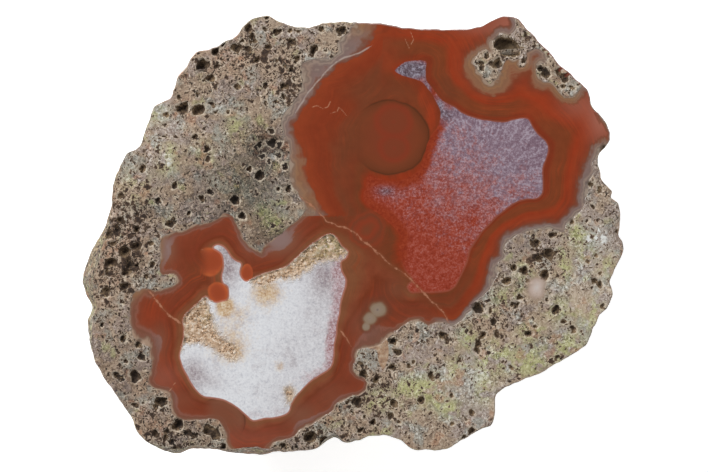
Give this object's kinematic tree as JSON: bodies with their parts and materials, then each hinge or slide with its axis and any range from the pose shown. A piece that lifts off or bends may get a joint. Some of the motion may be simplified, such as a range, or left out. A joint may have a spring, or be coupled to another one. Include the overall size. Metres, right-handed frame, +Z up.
{
  "type": "banded agate nodule half",
  "caption": "Half of a red banded agate nodule with quartz centres in pitted lava rock, sawn and polished on one face, to stand as a display stone.",
  "frame": {"origin": "under the middle of the stone's outline, at the height of the surface that it rests on", "axes": "+Z up out of the polished face, +X along the longest side of the face, with the pale quartz centre on the -X side"},
  "size_m": [0.1042, 0.0844, 0.038],
  "materials": {
    "agate_in_lava": "one face sawn and polished, with red and brown banded agate, white and lilac quartz and grey-tan lava full of dark vesicles; rough broken lava elsewhere"
  },
  "bodies": {
    "root": {"agate_nodule_half": "agate_in_lava"}
  },
  "joints": []
}
